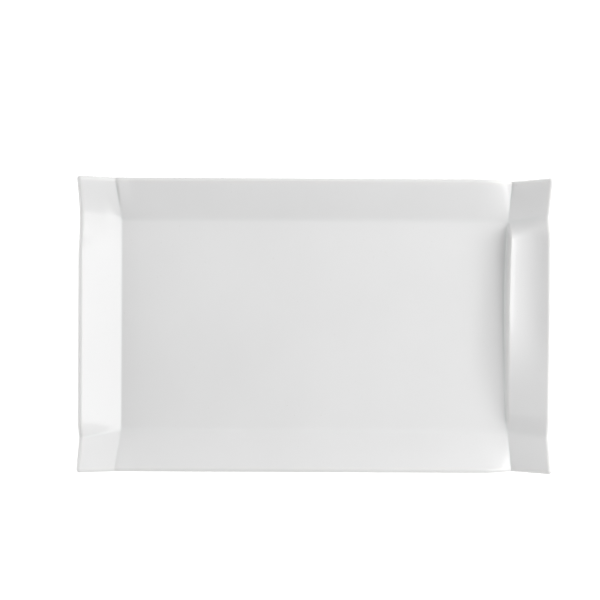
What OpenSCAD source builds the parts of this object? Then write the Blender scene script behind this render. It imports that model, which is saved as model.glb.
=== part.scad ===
// China serving platter: rectangular, flat well, wide angled border, raised end tabs.
// One fired slab with a glass coat on each side and a dry foot ring below.
// Origin: centre of the standing plane. +X along the length, +Z up, millimetres.

/* [Plan] */
// Overall length over the lips
length = 355.6; // [345:1:370]
// Overall width over the lips
width = 222.2; // [215:1:235]
// Half length of the flat well, centre to end fold
well_x = 148; // [146:0.5:150]
// Half width of the flat well, centre to long fold
well_y = 80.8; // [79:0.2:83]

/* [Border] */
// Rise of the border along the middle of a long side
long_rise = 16; // [10:0.5:17]
// Rise of the border at an end, where tab and corner meet
notch_rise = 14.5; // [10:0.5:15.5]
// Rise of the corner points on the +Y side
far_corner_rise = 28; // [23:0.5:30]
// Rise of the corner points on the -Y side
near_corner_rise = 26; // [21:0.5:28]
// How far the +Y rim dips before its +X corner
far_dip = 9; // [0:0.2:9]
// How far the -Y rim dips before its +X corner
near_dip = 7.4; // [0:0.2:9]
// Length of that dip
dip_run = 30; // [20:1:40]
// Outward drift of the end folds from the well to the end edge
fold_drift_y = 3.6; // [0:0.1:6]
// The same drift at the -X, -Y corner
near_drift_y = 5; // [2:0.5:9]
// Outward drift of the corner folds from the well to the long edge
fold_drift_x = 1.8; // [0:0.1:3]

/* [Plain end tab, -X] */
// Height of the tab edge above the line between its corner folds
plain_gain = 4.6; // [1:0.2:5]
// Length of the slope down to the +Y corner fold
plain_far_slope = 32; // [16:1:36]
// Length of the slope down to the -Y corner fold
plain_near_slope = 12; // [12:1:26]
// Half width of the soft fold between the tab and the +Y corner
plain_fold = 16; // [3:1:18]
// Height of the ridge on the +Y rim beside the corner fold
ripple_far = 1.2; // [0:0.1:1.4]
// Height of the ridge on the -Y rim beside the corner fold
ripple_near = 0.4; // [0:0.1:1.4]

/* [Swept end tab, +X] */
// Height of the tab edge above the line between its corner folds
swept_gain = 5.8; // [4:0.2:8]
// Length of the slope down to each corner fold
swept_slope = 15; // [12:1:20]
// Height of the crest above the well
crest = 13; // [8:0.5:14]
// Share of the crest that is left at the -Y end of the tab
crest_tail = 0.34; // [0.1:0.02:0.6]
// Run of the crest wall in plan, in the middle of the tab
wall_run = 3; // [2.8:0.2:5]
// How far the crest bows toward the well
crest_bow = 2.9; // [0:0.1:3.2]
// Upward sweep of the well floor in front of the crest
sweep = 5; // [0:0.5:6]
// Length of the sweep along the middle
sweep_run = 30; // [22:1:32]

/* [Section] */
// Finished thickness with both glass coats
thickness = 4.8; // [4.2:0.1:5.6]
// Thickness of each glass coat
glaze = 0.35; // [0.3:0.05:0.5]
// Height of the food surface above the standing plane
floor_z = 7; // [6.4:0.1:9]
// Half width of the soft fold under the long rims
long_fold = 2.2; // [1.5:0.1:3]
// Half width of the crisp fold at the ends and corners
end_fold = 0.9; // [0.6:0.1:1.2]

/* [Foot] */
// Half length of the foot ring
foot_x = 112; // [100:1:112]
// Half width of the foot ring
foot_y = 65; // [62:1:66]
// Corner radius of the foot ring
foot_r = 15; // [12:1:18]
// Width of the foot ring where it leaves the body
foot_w = 5.6; // [4.5:0.1:7]

/* [Hidden] */

BODY_COLOR = [0.93, 0.92, 0.89];
FOOT_COLOR = [0.86, 0.83, 0.77];
GLAZE_COLOR = [0.96, 0.96, 0.95];

lip_steps = 4; // facets around the half-round lip
fan_steps = 3; // facets around each plan corner
arc_steps = 3; // grid steps over half of a foot corner
feel = 7; // reach of the probe for the lean of the slab
soft_run = 18; // run of the crest wall as the slab below follows it
wall_round = 4; // how quickly the crest wall turns over into the crest
wall_end_share = 0.4; // share of the wall's run that is left at the tab's ends
sweep_arch = 0.7; // how blunt the swept area is in plan
sweep_lean = 0.2; // how far the swept area leans toward -Y
tab_curl = 2.2; // how much of the swept tab's climb lies near its edge
tail_run = 90; // length over which the swept tab tails off toward -Y
plain_fold_run = 12; // distance over which the plain tab's +Y fold turns soft
ripple_run = 9; // length of the ridge's gentle side
ripple_drop = 2.4; // length of its steep side
ripple_growth = 0.7; // share of the border over which it grows to full height

border_x = length / 2 - well_x;
border_y = width / 2 - well_y;
lip_r = thickness / 2;
lean_x = atan(notch_rise / border_x);
lean_y = atan(long_rise / border_y);
edge_x = length / 2 - lip_r * (1 + sin(lean_x));
edge_y = width / 2 - lip_r * (1 + sin(lean_y));
body_bottom = floor_z - thickness + glaze;
coat_bottom = floor_z - thickness;

// ---- small helpers ----
function ease(t) = let (c = max(0, min(1, t))) c * c * (3 - 2 * c);
function brow(t) = 1 - pow(1 - max(0, min(1, t)), 2);
function crown(t) = 1 - pow(1 - max(0, min(1, t)), wall_round);
function ramp(d, w) = d <= -w ? 0 : d >= w ? d : pow(d + w, 2) / (4 * w);
function tent(a, low, mid, high) =
    a <= low || a >= high ? 0 : a < mid ? (a - low) / (mid - low) : (high - a) / (high - mid);
function unit(p) = p / norm(p);
function steps(from, to, count) = [for (k = [0:count - 1]) from + (to - from) * k / count];
function mirrored(half) = concat([for (k = [len(half) - 1:-1:1]) -half[k]], half);

// ---- height of the food surface over the unwarped plan ----
// v: distance from the long axis, a: from the short axis, d: outward from the end fold,
// run: run of the crest wall in plan
function arch(v) =
    let (w = v / well_y)
    pow(max(0, 1 - pow(w + sweep_lean * (1 - w * w), 2)), sweep_arch);
function floor_sweep(v, a) =
    sweep * pow(max(0, min(0, a - well_x) / sweep_run + arch(v)), 2);
function swept_tab(v, d, run) =
    let (
        share = ease((well_y - abs(v)) / swept_slope),
        swell = ease((well_y - v) / swept_slope) * ease((well_y + v) / tail_run),
        swept = sweep * pow(arch(v), 2),
        top = crest * (swell + crest_tail * (share - swell)),
        edge = notch_rise + swept_gain * (share + swell) / 2,
        curl = tab_curl * pow(swell, 3),
        wall = run * (wall_end_share + (1 - wall_end_share) * arch(v)),
        r = d / border_x
    )
    max(0, top - swept) * crown(d / wall)
    + (edge - max(top, swept)) * ((1 - curl) * r + curl * r * r);
function plain_tab(v, d) =
    let (
        inside = well_y - abs(v),
        share = v > 0 ? ease(inside / plain_far_slope) : brow(inside / plain_near_slope)
    )
    (notch_rise + plain_gain * share) * d / border_x;
function fold_width(u, v) =
    long_fold + (v > 0 ? (plain_fold - long_fold) * ease((-u - well_x) / plain_fold_run) : 0);
function ripple(u, v) =
    let (
        inside = u + well_x + ripple_drop / 2,
        along = ease(inside / ripple_drop) * (1 - ease((inside - ripple_drop) / ripple_run))
    )
    (v > 0 ? ripple_far : ripple_near) * along
    * ease((abs(v) - well_y - long_fold) / (border_y * ripple_growth));
function dip(v, a) =
    (v > 0 ? far_dip : near_dip) * pow(max(0, min(1, (a - well_x + dip_run) / dip_run)), 3);
function height(u, v, run) =
    let (
        a = abs(u),
        d = ramp(a - well_x, end_fold),
        fold = long_rise - (u > 0 ? dip(v, a) : 0),
        corner = v > 0 ? far_corner_rise : near_corner_rise,
        rise = fold + (corner - notch_rise - fold) * min(1.2, d / border_x),
        tab = u > 0 ? swept_tab(v, d, run) + floor_sweep(v, a) : plain_tab(v, d)
    )
    floor_z + tab + ramp(abs(v) - well_y, fold_width(u, v)) * rise / border_y + ripple(u, v);
function soft(u, v) = height(u, v, soft_run);
function normal(u, v) =
    unit([
        (soft(u - feel, v) - soft(u + feel, v)) / (2 * feel),
        (soft(u, v - feel) - soft(u, v + feel)) / (2 * feel),
        1
    ]);

// ---- plan position of a grid point ----
function sign_of(a) = a < 0 ? -1 : 1;
function fold_shift_x(u, a, b) =
    let (
        out = fold_drift_x * max(0, b - well_y) / border_y,
        bow = u > 0 ? crest_bow * max(0, 1 - pow(b / well_y, 2)) : 0
    )
    tent(a, foot_x, well_x, edge_x) * (out - bow);
function fold_shift_y(u, v, a, b) =
    let (drift = u < 0 && v < 0 ? near_drift_y : fold_drift_y)
    tent(b, foot_y, well_y, edge_y) * drift * max(0, a - well_x) / border_x;

// grid lines through the foot corners are bent round the corner arc
function on_arc(a, b) =
    a > foot_x - foot_r && b > foot_y - foot_r && a <= foot_x && b <= foot_y;
function arc_point(a, b) =
    let (
        p = a - foot_x + foot_r,
        q = b - foot_y + foot_r,
        reach = max(p, q),
        turn = p >= q ? 45 * q / p : 90 - 45 * p / q
    )
    [foot_x - foot_r + reach * cos(turn), foot_y - foot_r + reach * sin(turn)];
function plan(u, v) =
    let (
        a = abs(u),
        b = abs(v),
        q = [a + fold_shift_x(u, a, b), b + fold_shift_y(u, v, a, b)],
        p = on_arc(a, b) ? arc_point(a, b) : q
    )
    [sign_of(u) * p[0], sign_of(v) * p[1]];

// ---- grid lines, dense where the surface turns ----
wall_end = well_x + wall_run + end_fold;
half_u = concat(
    steps(0, foot_x - foot_r, 2),
    steps(foot_x - foot_r, foot_x, arc_steps),
    steps(foot_x, well_x - 2, 5),
    steps(well_x - 2, well_x - end_fold, 1),
    steps(well_x - end_fold, wall_end, 6),
    steps(wall_end, well_x + 9, 1),
    steps(well_x + 9, edge_x, 4),
    [edge_x]
);
half_v = concat(
    steps(0, foot_y - foot_r, 3),
    steps(foot_y - foot_r, foot_y, arc_steps),
    steps(foot_y, well_y - long_fold, 5),
    steps(well_y - long_fold, well_y + long_fold, 4),
    steps(well_y + long_fold, edge_y, 3),
    [edge_y]
);
us = mirrored(half_u);
vs = mirrored(half_v);
nu = len(us);
nv = len(vs);

// ---- points on a layer that lies depth below the food surface ----
function on_layer(i, j, depth) =
    let (p = plan(us[i], vs[j]))
    [p[0], p[1], height(us[i], vs[j], wall_run)] - depth * normal(us[i], vs[j]);
function layer(depth) = [for (i = [0:nu - 1], j = [0:nv - 1]) on_layer(i, j, depth)];
function at(i, j) = i * nv + j;

// ---- walk round the rim: [grid i, grid j, outward angle, number without the fans] ----
function fan(i, j, from, number) =
    [for (k = [0:fan_steps]) [i, j, from + 90 * k / fan_steps, number]];
walk = concat(
    fan(0, 0, 180, 0),
    [for (i = [1:nu - 2]) [i, 0, 270, i]],
    fan(nu - 1, 0, 270, nu - 1),
    [for (j = [1:nv - 2]) [nu - 1, j, 0, nu - 1 + j]],
    fan(nu - 1, nv - 1, 0, nu + nv - 2),
    [for (i = [1:nu - 2]) [nu - 1 - i, nv - 1, 90, nu + nv - 2 + i]],
    fan(0, nv - 1, 90, 2 * nu + nv - 3),
    [for (j = [1:nv - 2]) [0, nv - 1 - j, 180, 2 * nu + nv - 3 + j]]
);
walk_len = len(walk);
rim_len = 2 * (nu + nv - 2);
function rim_layer(depth) =
    [for (p = [0:walk_len - 1]) if (p == 0 || walk[p][3] != walk[p - 1][3])
        on_layer(walk[p][0], walk[p][1], depth)];
function lip_point(w, k, inset) =
    let (
        u = us[w[0]],
        v = vs[w[1]],
        up = normal(u, v),
        flat = [cos(w[2]), sin(w[2]), 0],
        out = unit(flat - (flat * up) * up),
        turn = 180 * k / lip_steps,
        r = lip_r - inset
    )
    on_layer(w[0], w[1], lip_r) + r * (cos(turn) * up + sin(turn) * out);
function lip(inset) =
    [for (k = [1:lip_steps - 1], p = [0:walk_len - 1]) lip_point(walk[p], k, inset)];

// ---- faces, clockwise seen from outside ----
function split(a, b, c, d) = [[a, b, c], [a, c, d]];
function real_faces(faces) =
    [for (f = faces) if (f[0] != f[1] && f[1] != f[2] && f[0] != f[2]) f];
function turned(faces) = [for (f = faces) [f[2], f[1], f[0]]];
function cell(i, j, start) =
    let (
        a = start + at(i, j),
        b = start + at(i, j + 1),
        c = start + at(i + 1, j + 1),
        d = start + at(i + 1, j)
    )
    (2 * i < nu - 1) == (2 * j < nv - 1) ? split(a, b, c, d) : split(b, c, d, a);
function in_foot(i, j) =
    max(abs(us[i]), abs(us[i + 1])) <= foot_x && max(abs(vs[j]), abs(vs[j + 1])) <= foot_y;
function sheet(start, with_foot) =
    [for (i = [0:nu - 2], j = [0:nv - 2]) if (with_foot || !in_foot(i, j))
        for (f = cell(i, j, start)) f];

// number of point p on lip row k: top row and last row belong to other lists
function lip_number(p, k, top, rows, last, last_is_grid) =
    let (w = walk[p % walk_len])
    k == 0 ? top + at(w[0], w[1])
    : k < lip_steps ? rows + (k - 1) * walk_len + p % walk_len
    : last_is_grid ? last + at(w[0], w[1]) : last + w[3];
function lip_faces(top, rows, last, last_is_grid) =
    real_faces([for (k = [0:lip_steps - 1], p = [0:walk_len - 1])
        for (f = split(
            lip_number(p, k, top, rows, last, last_is_grid),
            lip_number(p + 1, k, top, rows, last, last_is_grid),
            lip_number(p + 1, k + 1, top, rows, last, last_is_grid),
            lip_number(p, k + 1, top, rows, last, last_is_grid)
        )) f]);

// ---- foot ring loops ----
function foot_loop(inset, z) =
    [for (q = [0:3], k = [0:2 * arc_steps])
        let (
            turn = 90 * q + 45 * k / arc_steps,
            sx = q == 0 || q == 3 ? 1 : -1,
            sy = q < 2 ? 1 : -1
        )
        [
            sx * (foot_x - foot_r) + (foot_r - inset) * cos(turn),
            sy * (foot_y - foot_r) + (foot_r - inset) * sin(turn),
            z
        ]];
loop_len = 4 * (2 * arc_steps + 1);

// ---- sub-parts ----
module porcelain_body() {
    top = layer(glaze);
    bottom = layer(thickness - glaze);
    count = len(top);
    color(BODY_COLOR)
    polyhedron(
        points = concat(top, bottom, lip(glaze)),
        faces = concat(
            sheet(0, true),
            turned(sheet(count, true)),
            lip_faces(0, 2 * count, count, true)
        ),
        convexity = 6
    );
}

module face_glaze() {
    outer = concat(layer(0), lip(0), rim_layer(thickness));
    inner = concat(layer(glaze), lip(glaze), rim_layer(thickness - glaze));
    count = len(outer);
    rows = nu * nv;
    last = count - rim_len;
    outer_lip = lip_faces(0, rows, last, false);
    inner_lip = lip_faces(count, count + rows, count + last, false);
    seam = [for (k = [0:rim_len - 1])
        let (a = last + k, b = last + (k + 1) % rim_len)
        for (f = split(a, b, b + count, a + count)) f];
    color(GLAZE_COLOR)
    polyhedron(
        points = concat(outer, inner),
        faces = concat(
            sheet(0, true),
            outer_lip,
            seam,
            turned(sheet(count, true)),
            turned(inner_lip)
        ),
        convexity = 8
    );
}

// grid numbers round the rim and round the foot opening, both counter-clockwise from above
rim_walk = [for (p = [0:walk_len - 1]) if (p == 0 || walk[p][3] != walk[p - 1][3])
    at(walk[p][0], walk[p][1])];
fi = [for (i = [0:nu - 1]) if (abs(us[i]) <= foot_x) i];
fj = [for (j = [0:nv - 1]) if (abs(vs[j]) <= foot_y) j];
fi_last = len(fi) - 1;
fj_last = len(fj) - 1;
foot_walk = concat(
    [for (k = [0:fi_last - 1]) at(fi[k], fj[0])],
    [for (k = [0:fj_last - 1]) at(fi[fi_last], fj[k])],
    [for (k = [0:fi_last - 1]) at(fi[fi_last - k], fj[fj_last])],
    [for (k = [0:fj_last - 1]) at(fi[0], fj[fj_last - k])]
);
function band(loop, upper, lower) =
    [for (k = [0:len(loop) - 1])
        let (a = loop[k], b = loop[(k + 1) % len(loop)])
        for (f = split(upper + a, upper + b, lower + b, lower + a)) f];

// only the points the coat uses, so that none lies loose under the foot
inside = [for (i = [0:nu - 1], j = [0:nv - 1])
    abs(us[i]) < foot_x && abs(vs[j]) < foot_y ? 0 : 1];
function packed(list) = [for (k = [0:len(list) - 1]) if (inside[k] == 1) list[k]];
function running(k, sum, out) =
    k == len(inside) ? out : running(k + 1, sum + inside[k], concat(out, [sum]));

module underside_glaze() {
    number = running(0, 0, []);
    kept = number[len(number) - 1] + 1;
    count = nu * nv;
    faces = concat(
        sheet(0, false),
        turned(sheet(count, false)),
        band(rim_walk, 0, count),
        turned(band(foot_walk, 0, count))
    );
    color(GLAZE_COLOR)
    polyhedron(
        points = concat(packed(layer(thickness - glaze)), packed(layer(thickness))),
        faces = [for (f = faces)
            [for (n = f) n < count ? number[n] : kept + number[n - count]]],
        convexity = 8
    );
}

module foot_ring() {
    ground = 0.5;
    flare = 0.7;
    section = [
        [0, body_bottom],
        [0, coat_bottom],
        [flare, ground],
        [flare + ground, 0],
        [foot_w - flare - ground, 0],
        [foot_w - flare, ground],
        [foot_w, coat_bottom],
        [foot_w, body_bottom]
    ];
    rows = len(section);
    color(FOOT_COLOR)
    polyhedron(
        points = [for (s = section) for (p = foot_loop(s[0], s[1])) p],
        faces = [for (r = [0:rows - 1], k = [0:loop_len - 1])
            let (
                a = r * loop_len,
                b = (r + 1) % rows * loop_len,
                n = (k + 1) % loop_len
            )
            for (f = split(a + k, a + n, b + n, b + k)) f],
        convexity = 4
    );
}

module base_glaze() {
    color(GLAZE_COLOR)
    translate([0, 0, coat_bottom])
    linear_extrude(height = glaze)
    polygon([for (p = foot_loop(foot_w, 0)) [p[0], p[1]]]);
}

porcelain_body();
foot_ring();
face_glaze();
underside_glaze();
base_glaze();
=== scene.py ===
"""White china serving platter on a plain pale floor, seen from straight above in soft studio light."""

import math

import bpy
import numpy as np
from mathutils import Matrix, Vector


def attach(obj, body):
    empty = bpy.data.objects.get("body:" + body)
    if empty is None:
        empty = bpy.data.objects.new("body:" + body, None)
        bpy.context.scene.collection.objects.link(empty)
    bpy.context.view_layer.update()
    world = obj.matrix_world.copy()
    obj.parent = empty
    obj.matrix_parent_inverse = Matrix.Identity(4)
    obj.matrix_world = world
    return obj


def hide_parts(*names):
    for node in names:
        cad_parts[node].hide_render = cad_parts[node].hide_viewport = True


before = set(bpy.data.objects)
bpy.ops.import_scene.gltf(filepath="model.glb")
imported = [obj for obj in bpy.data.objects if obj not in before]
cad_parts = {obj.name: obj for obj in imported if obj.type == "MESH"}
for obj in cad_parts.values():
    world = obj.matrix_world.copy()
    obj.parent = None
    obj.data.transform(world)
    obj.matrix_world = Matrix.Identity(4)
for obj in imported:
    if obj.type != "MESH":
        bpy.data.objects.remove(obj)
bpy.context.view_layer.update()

MM = 0.001

# ---- Driving sizes of the platter, in millimetres, the same as the CAD source's ----
LENGTH, WIDTH = 355.6, 222.2
WELL_X, WELL_Y = 148.0, 80.8
LONG_RISE, NOTCH_RISE = 16.0, 14.5
FAR_CORNER_RISE, NEAR_CORNER_RISE = 28.0, 26.0
FAR_DIP, NEAR_DIP, DIP_RUN = 9.0, 7.4, 30.0
FOLD_DRIFT_X, FOLD_DRIFT_Y, PLAIN_NEAR_DRIFT = 1.8, 3.6, 5.0
PLAIN_GAIN, PLAIN_FAR_SLOPE, PLAIN_NEAR_SLOPE = 4.6, 32.0, 12.0
PLAIN_FOLD, PLAIN_FOLD_RUN = 16.0, 12.0
RIPPLE_FAR, RIPPLE_NEAR, RIPPLE_RUN, RIPPLE_DROP, RIPPLE_GROWTH = 1.2, 0.4, 9.0, 2.4, 0.7
SWEPT_GAIN, SWEPT_SLOPE = 5.8, 15.0
CREST, CREST_TAIL, CREST_BOW = 13.0, 0.34, 2.9
WALL_RUN, WALL_END_SHARE, WALL_ROUND = 3.0, 0.4, 4
SWEEP, SWEEP_RUN, SWEEP_ARCH, SWEEP_LEAN = 5.0, 30.0, 0.7, 0.2
TAB_CURL, TAIL_RUN = 2.2, 90.0
THICKNESS, GLAZE, FLOOR_Z = 4.8, 0.35, 7.0
LONG_FOLD, END_FOLD = 2.2, 0.9
FOOT_X, FOOT_Y, FOOT_R, FOOT_W = 112.0, 65.0, 15.0, 5.6
FEEL, SOFT_RUN = 7.0, 18.0

BORDER_X = LENGTH / 2 - WELL_X
BORDER_Y = WIDTH / 2 - WELL_Y
LIP_R = THICKNESS / 2
EDGE_X = LENGTH / 2 - LIP_R * (1 + math.sin(math.atan(NOTCH_RISE / BORDER_X)))
EDGE_Y = WIDTH / 2 - LIP_R * (1 + math.sin(math.atan(LONG_RISE / BORDER_Y)))
BODY_BOTTOM = FLOOR_Z - THICKNESS + GLAZE
COAT_BOTTOM = FLOOR_Z - THICKNESS

# ---- How finely the meshes follow those shapes ----
LIP_STEPS = 12  # around the half-round lip
FAN_STEPS = 8  # around each plan corner
ARC_STEPS = 8  # over half of a foot corner
WALL_LEAD, WALL_PAST = 3, 9  # reach of the fine grid before and past the end folds
GROUND_STEPS = 4  # around each ground edge of the foot
EDGE_OVERRUN = 1.2  # how far past the end edge, as a share, the corners go on rising
TINY = 1e-9  # keeps a division away from zero
COAT_CREASE, FOOT_CREASE = 60, 40  # degrees between faces from which an edge looks sharp

# ---- Where the glass runs thick and thin, in millimetres ----
POOL_REACH, POOL_GAIN = 2.0, 0.6
LIP_POOLING, RIM_THINNING = -0.8, 2.5

# ---- Section of the foot ring and of the glass inside it, in millimetres ----
GROUND_EDGE = 0.5  # radius of the ground edges
FOOT_FLARE = 0.7  # how far each side leans in on its way down
BASE_ROWS = 0.6, 4, 12  # distances from the ring at which the glass has a row of faces
LEAST_CORNER = 0.25  # smallest corner radius of such a row


# ---------------------------------------------------------------- shape of the platter
def ease(t):
    """From 0 to 1, level at both ends."""
    c = np.clip(t, 0, 1)
    return c * c * (3 - 2 * c)


def brow(t):
    """From 0 to 1, steep at first and level at the end."""
    return 1 - (1 - np.clip(t, 0, 1)) ** 2


def crown(t):
    """The same, but steeper at first, for the crest wall."""
    return 1 - (1 - np.clip(t, 0, 1)) ** WALL_ROUND


def ramp(d, w):
    """0 up to a fold and the distance d past it, with the fold rounded over w on both sides."""
    return np.where(d <= -w, 0, np.where(d >= w, d, (d + w) ** 2 / (4 * w)))


def tent(a, low, mid, high):
    """0 outside low to high, and 1 at mid."""
    up, down = (a - low) / (mid - low), (high - a) / (high - mid)
    return np.where((a <= low) | (a >= high), 0, np.where(a < mid, up, down))


def arch(v):
    """Outline of the swept area across the platter: 1 near the middle, 0 at the long folds."""
    w = v / WELL_Y
    return np.maximum(0, 1 - (w + SWEEP_LEAN * (1 - w * w)) ** 2) ** SWEEP_ARCH


def floor_sweep(v, a):
    """Upward sweep of the well floor in front of the crest."""
    return SWEEP * np.maximum(0, np.minimum(0, a - WELL_X) / SWEEP_RUN + arch(v)) ** 2


def swept_tab(v, d, run):
    """The +X end tab: a wall up to an arched crest, then a hollow that climbs to the edge."""
    share = ease((WELL_Y - abs(v)) / SWEPT_SLOPE)
    swell = ease((WELL_Y - v) / SWEPT_SLOPE) * ease((WELL_Y + v) / TAIL_RUN)
    swept = SWEEP * arch(v) ** 2
    top = CREST * (swell + CREST_TAIL * (share - swell))
    edge = NOTCH_RISE + SWEPT_GAIN * (share + swell) / 2
    curl = TAB_CURL * swell**3
    r = d / BORDER_X
    climb = (edge - np.maximum(top, swept)) * ((1 - curl) * r + curl * r * r)
    wall = run * (WALL_END_SHARE + (1 - WALL_END_SHARE) * arch(v))
    return np.maximum(0, top - swept) * crown(d / wall) + climb


def plain_tab(v, d):
    """The -X end tab: a plain slope whose edge falls toward each corner fold."""
    inside = WELL_Y - abs(v)
    share = np.where(v > 0, ease(inside / PLAIN_FAR_SLOPE), brow(inside / PLAIN_NEAR_SLOPE))
    return (NOTCH_RISE + PLAIN_GAIN * share) * d / BORDER_X


def fold_width(u, v):
    """Half width of the long folds: crisp, but soft beyond the -X end on the +Y side."""
    soft = np.where(v > 0, PLAIN_FOLD - LONG_FOLD, 0)
    return LONG_FOLD + soft * ease((-u - WELL_X) / PLAIN_FOLD_RUN)


def ripple(u, v):
    """A low ridge on each long rim, close beside the -X corner fold, that fades inward."""
    inside = u + WELL_X + RIPPLE_DROP / 2
    along = ease(inside / RIPPLE_DROP) * (1 - ease((inside - RIPPLE_DROP) / RIPPLE_RUN))
    tall = np.where(v > 0, RIPPLE_FAR, RIPPLE_NEAR)
    return tall * along * ease((abs(v) - WELL_Y - LONG_FOLD) / (BORDER_Y * RIPPLE_GROWTH))


def height(u, v, run):
    """Height of the food surface over the unwarped plan; run is how steep the crest wall is."""
    a = abs(u)
    d = ramp(a - WELL_X, END_FOLD)
    dip = np.where(v > 0, FAR_DIP, NEAR_DIP) * np.clip((a - WELL_X + DIP_RUN) / DIP_RUN, 0, 1) ** 3
    fold = LONG_RISE - np.where(u > 0, dip, 0)
    corner = np.where(v > 0, FAR_CORNER_RISE, NEAR_CORNER_RISE)
    rise = fold + (corner - NOTCH_RISE - fold) * np.minimum(EDGE_OVERRUN, d / BORDER_X)
    tab = np.where(u > 0, swept_tab(v, d, run) + floor_sweep(v, a), plain_tab(v, d))
    border = ramp(abs(v) - WELL_Y, fold_width(u, v)) * rise / BORDER_Y
    return FLOOR_Z + tab + border + ripple(u, v)


def normal(u, v):
    """Lean of the slab, felt over a few millimetres so that its layers never fold over."""
    gx = height(u - FEEL, v, SOFT_RUN) - height(u + FEEL, v, SOFT_RUN)
    gy = height(u, v - FEEL, SOFT_RUN) - height(u, v + FEEL, SOFT_RUN)
    n = np.stack([gx / (2 * FEEL), gy / (2 * FEEL), np.ones_like(gx)], -1)
    return n / np.linalg.norm(n, axis=-1, keepdims=True)


def plan(u, v):
    """Where a grid point lies from above: folds drift outward, the foot's corners are round."""
    a, b = abs(u), abs(v)
    out = FOLD_DRIFT_X * np.maximum(0, b - WELL_Y) / BORDER_Y
    bow = np.where(u > 0, CREST_BOW * np.maximum(0, 1 - (b / WELL_Y) ** 2), 0)
    x = a + tent(a, FOOT_X, WELL_X, EDGE_X) * (out - bow)
    fold = np.where((u < 0) & (v < 0), PLAIN_NEAR_DRIFT, FOLD_DRIFT_Y)
    drift = fold * np.maximum(0, a - WELL_X) / BORDER_X
    y = b + tent(b, FOOT_Y, WELL_Y, EDGE_Y) * drift
    p, q = a - FOOT_X + FOOT_R, b - FOOT_Y + FOOT_R
    on_arc = (p > 0) & (q > 0) & (a <= FOOT_X) & (b <= FOOT_Y)
    reach = np.maximum(np.maximum(p, q), TINY)
    turn = np.where(p >= q, np.minimum(p, q) / reach, 2 - np.minimum(p, q) / reach) * math.pi / 4
    x = np.where(on_arc, FOOT_X - FOOT_R + reach * np.cos(turn), x)
    y = np.where(on_arc, FOOT_Y - FOOT_R + reach * np.sin(turn), y)
    return np.sign(u) * x, np.sign(v) * y


def layer_points(u, v, depth):
    """Where the grid points lie, depth millimetres below the food surface."""
    x, y = plan(u, v)
    return np.stack([x, y, height(u, v, WALL_RUN)], -1) - depth * normal(u, v)


# ---------------------------------------------------------------- the shared grid
def steps(start, end, count):
    """Count equal steps from start, without the end itself."""
    return list(start + (end - start) * np.arange(count) / count)


def mirrored(half):
    """Grid lines on both sides of 0 from those on one side."""
    half = np.array(half)
    return np.concatenate([-half[:0:-1], half])


WALL_END = WELL_X + WALL_RUN + END_FOLD
US = mirrored(
    steps(0, FOOT_X - FOOT_R, 8)
    + steps(FOOT_X - FOOT_R, FOOT_X, ARC_STEPS)
    + steps(FOOT_X, WELL_X - WALL_LEAD, 14)
    + steps(WELL_X - WALL_LEAD, WELL_X - END_FOLD, 3)
    + steps(WELL_X - END_FOLD, WALL_END, 18)
    + steps(WALL_END, WELL_X + WALL_PAST, 6)
    + steps(WELL_X + WALL_PAST, EDGE_X, 12)
    + [EDGE_X]
)
VS = mirrored(
    steps(0, FOOT_Y - FOOT_R, 10)
    + steps(FOOT_Y - FOOT_R, FOOT_Y, ARC_STEPS)
    + steps(FOOT_Y, WELL_Y - LONG_FOLD, 14)
    + steps(WELL_Y - LONG_FOLD, WELL_Y + LONG_FOLD, 10)
    + steps(WELL_Y + LONG_FOLD, EDGE_Y, 10)
    + [EDGE_Y]
)
NU, NV = len(US), len(VS)
GRID_U, GRID_V = np.meshgrid(US, VS, indexing="ij")


def glaze_pooling(u, v):
    """Where molten glass gathers: +1 in a sharp valley, -1 on a sharp ridge or at the rim."""
    level = height(u, v, WALL_RUN)
    around = height(u - POOL_REACH, v, WALL_RUN) + height(u + POOL_REACH, v, WALL_RUN)
    around = around + height(u, v - POOL_REACH, WALL_RUN) + height(u, v + POOL_REACH, WALL_RUN)
    bend = np.clip(POOL_GAIN * (around - 4 * level), -1, 1)
    to_rim = np.minimum(EDGE_X - abs(u), EDGE_Y - abs(v))
    return bend + (LIP_POOLING - bend) * ease(1 - to_rim / RIM_THINNING)


POOLING = glaze_pooling(GRID_U, GRID_V)


def at(i, j):
    """Number of a grid point within a sheet."""
    return i * NV + j


def rim_walk():
    """Once round the rim, anticlockwise from above: (grid i, grid j, outward angle)."""

    def fan(i, j, start):
        return [(i, j, start + 90 * k / FAN_STEPS) for k in range(FAN_STEPS + 1)]

    walk = fan(0, 0, 180) + [(i, 0, 270) for i in range(1, NU - 1)]
    walk += fan(NU - 1, 0, 270) + [(NU - 1, j, 0) for j in range(1, NV - 1)]
    walk += fan(NU - 1, NV - 1, 0) + [(NU - 1 - i, NV - 1, 90) for i in range(1, NU - 1)]
    walk += fan(0, NV - 1, 90) + [(0, NV - 1 - j, 180) for j in range(1, NV - 1)]
    return walk


WALK = rim_walk()


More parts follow.
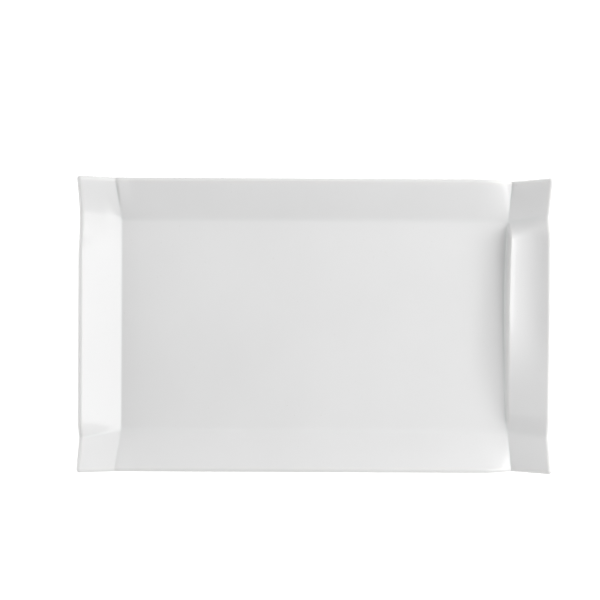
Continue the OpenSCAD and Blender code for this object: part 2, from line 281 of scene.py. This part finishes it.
class Shell:
    """Points and faces of one piece, in millimetres; faces are anticlockwise from outside."""

    def __init__(self):
        self.points, self.faces, self.pooling = [], [], []

    def add(self, points, pooling=LIP_POOLING):
        start = len(self.points)
        self.points += [tuple(p) for p in np.reshape(points, (-1, 3))]
        fresh = len(self.points) - start
        self.pooling += list(np.broadcast_to(np.ravel(pooling), (fresh,)))
        return start

    def face(self, *numbers):
        kept = [n for k, n in enumerate(numbers) if n != numbers[k - 1]]
        if len(kept) > 2:
            self.faces.append(tuple(kept))

    def sheet(self, depth, upward, opening=False):
        """One layer of the slab, with or without the opening for the foot."""
        start = self.add(layer_points(GRID_U, GRID_V, depth), POOLING)
        for i in range(NU - 1):
            for j in range(NV - 1):
                far = max(abs(US[i]), abs(US[i + 1])), max(abs(VS[j]), abs(VS[j + 1]))
                if opening and far[0] <= FOOT_X and far[1] <= FOOT_Y:
                    continue
                ring = [at(i, j), at(i + 1, j), at(i + 1, j + 1), at(i, j + 1)]
                self.face(*[start + n for n in (ring if upward else ring[::-1])])
        return start

    def lip(self, top, inset, outward, bottom=None):
        """The half-round lip from a sheet's rim down to depth THICKNESS - inset."""
        rows = []
        for i, j, angle in WALK:
            u, v = np.array(US[i]), np.array(VS[j])
            up = normal(u, v)
            flat = np.array([math.cos(math.radians(angle)), math.sin(math.radians(angle)), 0])
            out = flat - flat.dot(up) * up
            out /= np.linalg.norm(out)
            centre = layer_points(u, v, LIP_R)
            turns = np.pi * np.arange(1, LIP_STEPS) / LIP_STEPS
            arc = [centre + (LIP_R - inset) * (math.cos(t) * up + math.sin(t) * out) for t in turns]
            first = self.add(arc)
            rows.append([top + at(i, j)] + list(range(first, first + LIP_STEPS - 1)))
        last = {}
        for (i, j, _), row in zip(WALK, rows):
            if bottom is not None:
                row.append(bottom + at(i, j))
            else:
                if (i, j) not in last:
                    point = layer_points(np.array(US[i]), np.array(VS[j]), THICKNESS - inset)
                    last[(i, j)] = self.add(point)
                row.append(last[(i, j)])
        for k, row in enumerate(rows):
            after = rows[(k + 1) % len(rows)]
            for n in range(LIP_STEPS):
                ring = [row[n], row[n + 1], after[n + 1], after[n]]
                self.face(*(ring if outward else ring[::-1]))
        return list(last.values())

    def band(self, upper, lower, outward):
        """Joins two loops of numbers that run anticlockwise from above."""
        for k in range(len(upper)):
            n = (k + 1) % len(upper)
            ring = [upper[k], lower[k], lower[n], upper[n]]
            self.face(*(ring if outward else ring[::-1]))

    def build(self, name, sharp=None):
        used = sorted({n for f in self.faces for n in f})
        number = {n: k for k, n in enumerate(used)}
        mesh = bpy.data.meshes.new(name)
        points = [tuple(c * MM for c in self.points[n]) for n in used]
        mesh.from_pydata(points, [], [[number[n] for n in f] for f in self.faces])
        mesh.update()
        mesh.polygons.foreach_set("use_smooth", [True] * len(mesh.polygons))
        pooling = mesh.attributes.new("pooling", "FLOAT", "POINT")
        pooling.data.foreach_set("value", [float(self.pooling[n]) for n in used])
        if sharp:
            mesh.set_sharp_from_angle(angle=math.radians(sharp))
        piece = bpy.data.objects.new(name, mesh)
        bpy.context.scene.collection.objects.link(piece)
        return piece


def distinct_walk():
    """Grid numbers once round the rim, with each corner named once."""
    seen = []
    for i, j, _ in WALK:
        if not seen or seen[-1] != at(i, j):
            seen.append(at(i, j))
    return seen


def foot_walk():
    """Grid numbers round the foot opening, anticlockwise from above."""
    fi = [i for i in range(NU) if abs(US[i]) <= FOOT_X]
    fj = [j for j in range(NV) if abs(VS[j]) <= FOOT_Y]
    walk = [at(i, fj[0]) for i in fi[:-1]] + [at(fi[-1], j) for j in fj[:-1]]
    return walk + [at(i, fj[-1]) for i in fi[:0:-1]] + [at(fi[0], j) for j in fj[:0:-1]]


def rounded_loop(inset, z):
    """A loop in the shape of the foot, drawn in by inset."""
    points = []
    for q in range(4):
        sx, sy = (1 if q in (0, 3) else -1), (1 if q < 2 else -1)
        for k in range(2 * ARC_STEPS + 1):
            turn = math.radians(90 * q + 45 * k / ARC_STEPS)
            x = sx * (FOOT_X - FOOT_R) + (FOOT_R - inset) * math.cos(turn)
            y = sy * (FOOT_Y - FOOT_R) + (FOOT_R - inset) * math.sin(turn)
            points.append((x, y, z))
    return points


# ---------------------------------------------------------------- pieces
def make_slab():
    """The fired clay body, under the glass on both sides."""
    shell = Shell()
    top = shell.sheet(GLAZE, True)
    bottom = shell.sheet(THICKNESS - GLAZE, False)
    shell.lip(top, GLAZE, True, bottom)
    return shell.build("porcelain_slab")


def make_face_coat():
    """The glass over the food side, carried round the lip to the back."""
    shell = Shell()
    outer = shell.sheet(0, True)
    outer_end = shell.lip(outer, 0, True)
    inner = shell.sheet(GLAZE, False)
    inner_end = shell.lip(inner, GLAZE, False)
    shell.band(outer_end, inner_end, True)
    return shell.build("face_glaze_coat", COAT_CREASE)


def make_back_coat():
    """The glass on the back, from the rim in to the foot."""
    shell = Shell()
    upper = shell.sheet(THICKNESS - GLAZE, True, opening=True)
    lower = shell.sheet(THICKNESS, False, opening=True)
    rim, foot = distinct_walk(), foot_walk()
    shell.band([upper + n for n in rim], [lower + n for n in rim], True)
    shell.band([upper + n for n in foot], [lower + n for n in foot], False)
    return shell.build("back_glaze_coat", COAT_CREASE)


def make_foot_ring():
    """The ground foot: flared sides and a flat base with small rounded edges."""
    side = [(0, BODY_BOTTOM), (0, COAT_BOTTOM)]
    for k in range(GROUND_STEPS + 1):
        turn = math.pi / 2 * k / GROUND_STEPS
        inset = FOOT_FLARE + GROUND_EDGE * (1 - math.cos(turn))
        side.append((inset, GROUND_EDGE * (1 - math.sin(turn))))
    section = side + [(FOOT_W - inset, z) for inset, z in side[::-1]]
    shell = Shell()
    starts = [shell.add(rounded_loop(inset, z)) for inset, z in section]
    count = len(rounded_loop(0, 0))
    loops = [list(range(s, s + count)) for s in starts]
    for k, loop in enumerate(loops):
        shell.band(loop, loops[(k + 1) % len(loops)], True)
    return shell.build("dry_foot", FOOT_CREASE)


def make_base_coat():
    """The glass inside the foot: a flat patch whose edge is the inner side of the ring."""
    shell = Shell()
    rows = [(FOOT_W, COAT_BOTTOM + GLAZE), (FOOT_W, COAT_BOTTOM)]
    rows += [(FOOT_W + inset, COAT_BOTTOM) for inset in BASE_ROWS]
    loops = []
    for inset, z in rows:
        loop = rounded_loop(min(inset, FOOT_R - LEAST_CORNER), z)
        start = shell.add(loop)
        loops.append(list(range(start, start + len(loop))))
    for k in range(len(loops) - 1):
        shell.band(loops[k], loops[k + 1], True)
    shell.faces.append(tuple(loops[0]))
    shell.faces.append(tuple(loops[-1][::-1]))
    return shell.build("base_glaze_coat", FOOT_CREASE)


# ---------------------------------------------------------------- materials
WHITE, WARM = (0.83, 0.83, 0.83), (0.83, 0.825, 0.815)
FACE_SHADE, FACE_POOL = (0.81, 0.81, 0.81), (0.80, 0.815, 0.81)
BACK_WHITE, BACK_SHADE, BACK_POOL = (0.81, 0.81, 0.80), (0.77, 0.77, 0.76), (0.77, 0.79, 0.78)
SPECK = (0.55, 0.52, 0.47)
BODY_CLAY, BODY_DARK = (0.84, 0.82, 0.78), (0.80, 0.77, 0.72)
FOOT_CLAY, FOOT_DARK = (0.74, 0.70, 0.62), (0.64, 0.60, 0.52)
GRIT, RUBBED = (0.36, 0.31, 0.25), (0.33, 0.32, 0.30)
PAPER_LOW, PAPER_HIGH = (0.90, 0.90, 0.90), (0.92, 0.92, 0.92)

GLASS_IOR, CLAY_IOR = 1.5, 1.45
FACE_GLOSS, BACK_GLOSS = 0.14, 0.2  # least roughness of the glass
SHEEN_SPREAD = 0.05  # how much rougher its dullest places are
SCRATCH_STRETCH = (1, 14, 1)  # makes the marks lie along the platter
WAVE_HEIGHT, DIMPLE_HEIGHT = 0.00006, 0.000004  # metres
BODY_GRAIN, FOOT_GRAIN = 0.00004, 0.00008  # metres
RUB_HEIGHT = 0.0008  # metres of the foot that are rubbed by what it stands on
FOOT_RUB = 0.7  # how strongly they are


class Nodes:
    """Short names for building one material out of nodes."""

    def __init__(self, name):
        self.material = bpy.data.materials.new(name)
        self.material.use_nodes = True
        self.tree = self.material.node_tree
        self.shader = self.tree.nodes["Principled BSDF"]
        self.place = self.add("ShaderNodeTexCoord").outputs["Object"]

    def add(self, kind, **settings):
        node = self.tree.nodes.new(kind)
        for key, value in settings.items():
            setattr(node, key, value)
        return node

    def join(self, source, target):
        self.tree.links.new(source, target)

    def constant(self, **sockets):
        for key, value in sockets.items():
            self.shader.inputs[key.replace("_", " ")].default_value = value

    def noise(self, scale, detail=2.0, roughness=0.5, stretch=(1, 1, 1)):
        """Noise with about scale blobs to the metre."""
        spread = self.add("ShaderNodeMapping")
        spread.inputs["Scale"].default_value = stretch
        self.join(self.place, spread.inputs["Vector"])
        node = self.add("ShaderNodeTexNoise")
        node.inputs["Scale"].default_value = scale
        node.inputs["Detail"].default_value = detail
        node.inputs["Roughness"].default_value = roughness
        self.join(spread.outputs["Vector"], node.inputs["Vector"])
        return node.outputs["Fac"]

    def pooling(self):
        """What glaze_pooling found at each point of the mesh."""
        return self.add("ShaderNodeAttribute", attribute_name="pooling").outputs["Fac"]

    def ranged(self, source, low, high, to_low=0.0, to_high=1.0):
        """The stretch from low to high of a value, spread over to_low to to_high."""
        node = self.add("ShaderNodeMapRange")
        values = {"From Min": low, "From Max": high, "To Min": to_low, "To Max": to_high}
        for key, value in values.items():
            node.inputs[key].default_value = value
        self.join(source, node.inputs["Value"])
        return node.outputs["Result"]

    def maths(self, operation, first, second):
        node = self.add("ShaderNodeMath", operation=operation)
        for source, socket in zip((first, second), node.inputs):
            if isinstance(source, (int, float)):
                socket.default_value = source
            else:
                self.join(source, socket)
        return node.outputs[0]

    def mix(self, factor, first, second):
        node = self.add("ShaderNodeMix", data_type="RGBA")
        self.join(factor, node.inputs["Factor"])
        colours = [s for s in node.inputs if s.type == "RGBA"]
        for source, socket in zip((first, second), colours):
            if isinstance(source, tuple):
                socket.default_value = (*source, 1)
            else:
                self.join(source, socket)
        return next(s for s in node.outputs if s.type == "RGBA")

    def bump(self, source, distance, before=None):
        """Relief of the given height in metres, on top of the relief before it."""
        node = self.add("ShaderNodeBump")
        node.inputs["Distance"].default_value = distance
        self.join(source, node.inputs["Height"])
        if before is not None:
            self.join(before, node.inputs["Normal"])
        return node.outputs["Normal"]


def glazed(name, white, shade, thin, pool, gloss):
    """Clear glass over white clay: soft clouds, specks, thin on ridges, faintly wavy."""
    n = Nodes(name)
    colour = n.mix(n.ranged(n.noise(11, 3), 0.35, 0.65), shade, white)
    worn = n.maths("MULTIPLY", n.ranged(n.pooling(), -0.15, -0.9), n.ranged(n.noise(90, 3), 0.2, 0.7))
    colour = n.mix(worn, colour, thin)
    colour = n.mix(n.ranged(n.pooling(), 0.1, 0.9, 0, 0.8), colour, pool)
    specks = n.ranged(n.noise(950, 0), 0.84, 0.90, 0, 0.3)
    colour = n.mix(specks, colour, SPECK)
    n.join(colour, n.shader.inputs["Base Color"])
    sheen = n.ranged(n.noise(45, 4), 0.3, 0.7, gloss, gloss + SHEEN_SPREAD)
    marks = n.ranged(n.noise(60, 2, stretch=SCRATCH_STRETCH), 0.66, 0.72, 0, SHEEN_SPREAD)
    n.join(n.maths("ADD", sheen, marks), n.shader.inputs["Roughness"])
    wave = n.bump(n.noise(55, 1), WAVE_HEIGHT)
    n.join(n.bump(n.noise(520, 2), DIMPLE_HEIGHT, wave), n.shader.inputs["Normal"])
    n.constant(IOR=GLASS_IOR)
    return n.material


def bare_clay(name, clay, dark, grain, rub=0.0):
    """Unglazed fired clay: matt, fine grained, with darker grit, and grey rub marks below."""
    n = Nodes(name)
    colour = n.mix(n.ranged(n.noise(60, 4, 0.6), 0.35, 0.7), clay, dark)
    grit = n.ranged(n.noise(1500, 1), 0.72, 0.8, 0, 0.6)
    colour = n.mix(grit, colour, GRIT)
    split = n.add("ShaderNodeSeparateXYZ")
    n.join(n.place, split.inputs[0])
    touching = n.ranged(split.outputs["Z"], RUB_HEIGHT, 0.0, 0, rub)
    marks = n.maths("MULTIPLY", touching, n.ranged(n.noise(130, 5, 0.65), 0.45, 0.62))
    colour = n.mix(marks, colour, RUBBED)
    n.join(colour, n.shader.inputs["Base Color"])
    n.join(n.ranged(n.noise(400, 3), 0.3, 0.7, 0.75, 0.95), n.shader.inputs["Roughness"])
    n.join(n.bump(n.noise(1800, 4, 0.7), grain), n.shader.inputs["Normal"])
    n.constant(IOR=CLAY_IOR)
    return n.material


def studio_paper():
    """Plain pale floor, lit through so that it stays white round the platter."""
    n = Nodes("pale_floor")
    n.join(n.mix(n.noise(3, 2), PAPER_LOW, PAPER_HIGH), n.shader.inputs["Base Color"])
    n.constant(Roughness=0.9, Emission_Strength=FLOOR_GLOW)
    n.shader.inputs["Emission Color"].default_value = (1, 1, 1, 1)
    return n.material


# ---------------------------------------------------------------- studio
FLOOR_HALF = 4.0  # metres
FLOOR_GLOW = 0.5
HORIZON, SKY = 1.0, 0.28  # brightness of the surroundings, low down and overhead
HORIZON_TOP = 0.22  # how far up the bright band reaches, as the sine of the elevation
LIGHT_DISTANCE = 1.5  # metres

CAMERA_HEIGHT = 0.85  # metres
SENSOR, FOCAL_LENGTH = 36, 66.0  # millimetres
SHIFT_X, SHIFT_Y = -0.0258, 0.0431  # shares of the frame
TILT = -0.0005, -0.0007, 0.0047  # radians

# name: azimuth from +X and elevation in degrees, width and height in metres, watts
SOFTBOXES = {
    "right_low": (0, 20, 1.2, 0.6, 3.2),
    "back_right_low": (45, 20, 1.2, 0.6, 3.4),
    "left_low": (180, 20, 1.2, 0.6, 6.2),
    "right": (0, 42, 1.2, 1.2, 9.9),
    "back_right": (45, 42, 1.2, 1.2, 1.9),
    "front_right": (315, 42, 1.2, 1.2, 2.6),
    "right_high": (0, 66, 1.4, 1.4, 1.2),
    "back_high": (90, 66, 1.4, 1.4, 2.2),
}


def make_floor():
    mesh = bpy.data.meshes.new("floor")
    h = FLOOR_HALF
    mesh.from_pydata([(-h, -h, 0), (h, -h, 0), (h, h, 0), (-h, h, 0)], [], [(0, 1, 2, 3)])
    floor = bpy.data.objects.new("floor", mesh)
    mesh.materials.append(studio_paper())
    bpy.context.scene.collection.objects.link(floor)


def make_surroundings():
    """An even white studio, bright round the horizon and dimmer overhead."""
    world = bpy.data.worlds.new("studio")
    world.use_nodes = True
    tree = world.node_tree
    place = tree.nodes.new("ShaderNodeTexCoord")
    split = tree.nodes.new("ShaderNodeSeparateXYZ")
    fade = tree.nodes.new("ShaderNodeMapRange")
    fade.interpolation_type = "SMOOTHSTEP"
    values = {"From Min": 0.0, "From Max": HORIZON_TOP, "To Min": HORIZON, "To Max": SKY}
    for key, value in values.items():
        fade.inputs[key].default_value = value
    tree.links.new(place.outputs["Generated"], split.inputs[0])
    tree.links.new(split.outputs["Z"], fade.inputs["Value"])
    background = tree.nodes["Background"]
    background.inputs["Color"].default_value = (1, 1, 1, 1)
    tree.links.new(fade.outputs["Result"], background.inputs["Strength"])
    bpy.context.scene.world = world


def make_softbox(name, azimuth, elevation, width, tall, watts):
    """A rectangular lamp that faces the origin and that the camera doesn't see."""
    light = bpy.data.lights.new(name, "AREA")
    light.shape, light.size, light.size_y, light.energy = "RECTANGLE", width, tall, watts
    a, e = math.radians(azimuth), math.radians(elevation)
    toward = Vector((math.cos(a) * math.cos(e), math.sin(a) * math.cos(e), math.sin(e)))
    box = bpy.data.objects.new(name, light)
    box.location = toward * LIGHT_DISTANCE
    box.rotation_euler = (-toward).to_track_quat("-Z", "Y").to_euler()
    box.visible_camera = False
    bpy.context.scene.collection.objects.link(box)


def make_camera():
    """Straight above the middle, with a long lens; the shift frames it a little low and right."""
    lens = bpy.data.cameras.new("camera")
    lens.sensor_width, lens.lens = SENSOR, FOCAL_LENGTH
    lens.shift_x, lens.shift_y = SHIFT_X, SHIFT_Y
    camera = bpy.data.objects.new("camera", lens)
    camera.location = (0, 0, CAMERA_HEIGHT)
    camera.rotation_euler = TILT
    bpy.context.scene.collection.objects.link(camera)
    bpy.context.scene.camera = camera


# ---------------------------------------------------------------- the scene
def place_piece(piece, material, node):
    """Hands one finished piece to the frame."""
    piece.data.materials.append(material)
    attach(piece, "root")
    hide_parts(node)


front_glass = glazed("front_glaze", WHITE, FACE_SHADE, WARM, FACE_POOL, FACE_GLOSS)
back_glass = glazed("back_glaze", BACK_WHITE, BACK_SHADE, WARM, BACK_POOL, BACK_GLOSS)
biscuit = bare_clay("biscuit", BODY_CLAY, BODY_DARK, BODY_GRAIN)
ground_clay = bare_clay("dry_ground_clay", FOOT_CLAY, FOOT_DARK, FOOT_GRAIN, FOOT_RUB)

place_piece(make_slab(), biscuit, "porcelain_body")
place_piece(make_face_coat(), front_glass, "face_glaze")
place_piece(make_back_coat(), back_glass, "underside_glaze")
place_piece(make_base_coat(), back_glass, "base_glaze")
place_piece(make_foot_ring(), ground_clay, "foot_ring")

make_floor()
make_surroundings()
for name, box in SOFTBOXES.items():
    make_softbox(name, *box)
make_camera()
bpy.context.scene.view_settings.view_transform = "Standard"
